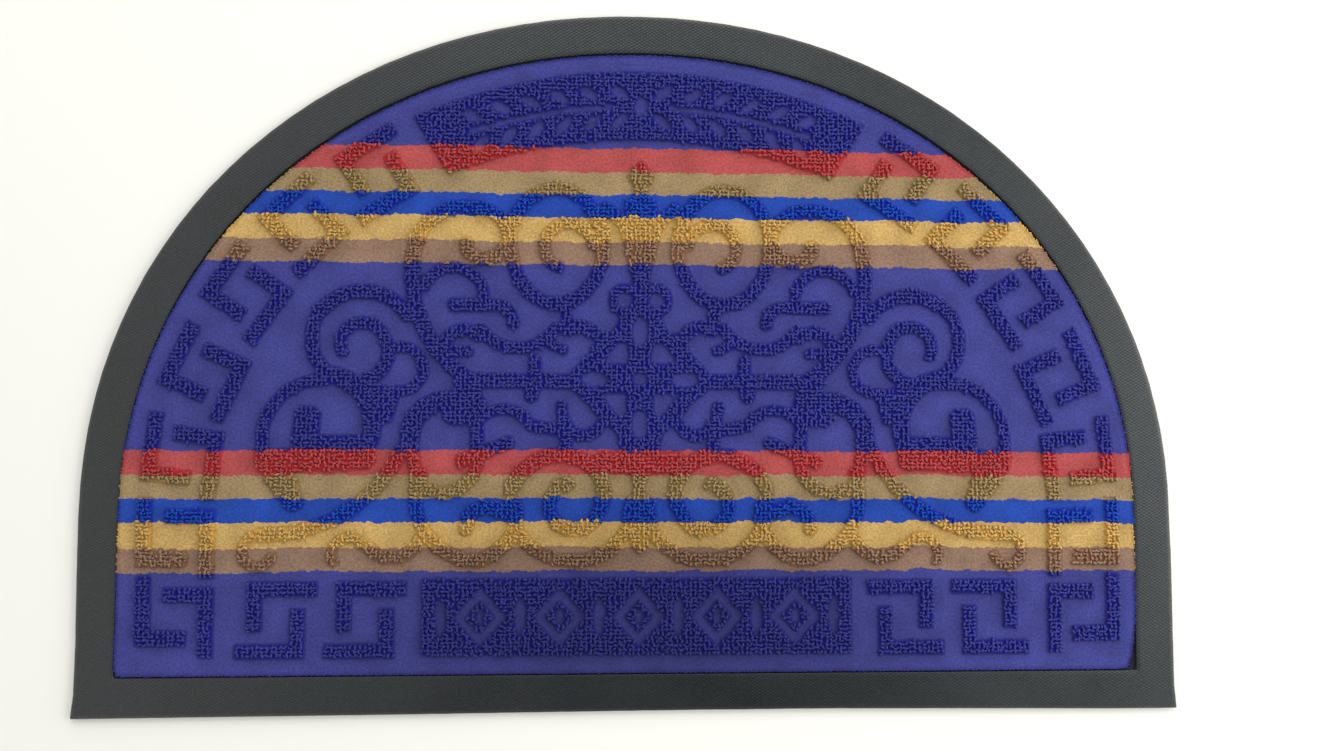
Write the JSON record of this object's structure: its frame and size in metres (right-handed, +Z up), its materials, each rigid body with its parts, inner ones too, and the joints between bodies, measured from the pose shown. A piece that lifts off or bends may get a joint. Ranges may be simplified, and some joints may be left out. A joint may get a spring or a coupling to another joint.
{
  "type": "half-moon doormat",
  "caption": "Half-moon doormat: a low rubber sheet with a raised border round a striped loop carpet panel with raised scrolls and Greek keys.",
  "frame": {"origin": "middle of the underside, at the centre of the mat's box", "axes": "+X along the straight hem, to the right as the mat is looked at from the hem; +Y from the hem towards the top of the arch; +Z up, out of the pile"},
  "size_m": [0.7, 0.45, 0.0064],
  "materials": {
    "rubber": "matt slate-grey rubber with a fine cloth imprint",
    "carpet": "blue-violet loop carpet with red, tan, blue, yellow and brown stripes, pressed flat round the raised ornament"
  },
  "bodies": {
    "root": {"rubber_base": "rubber", "pile_insert": "carpet"}
  },
  "joints": []
}
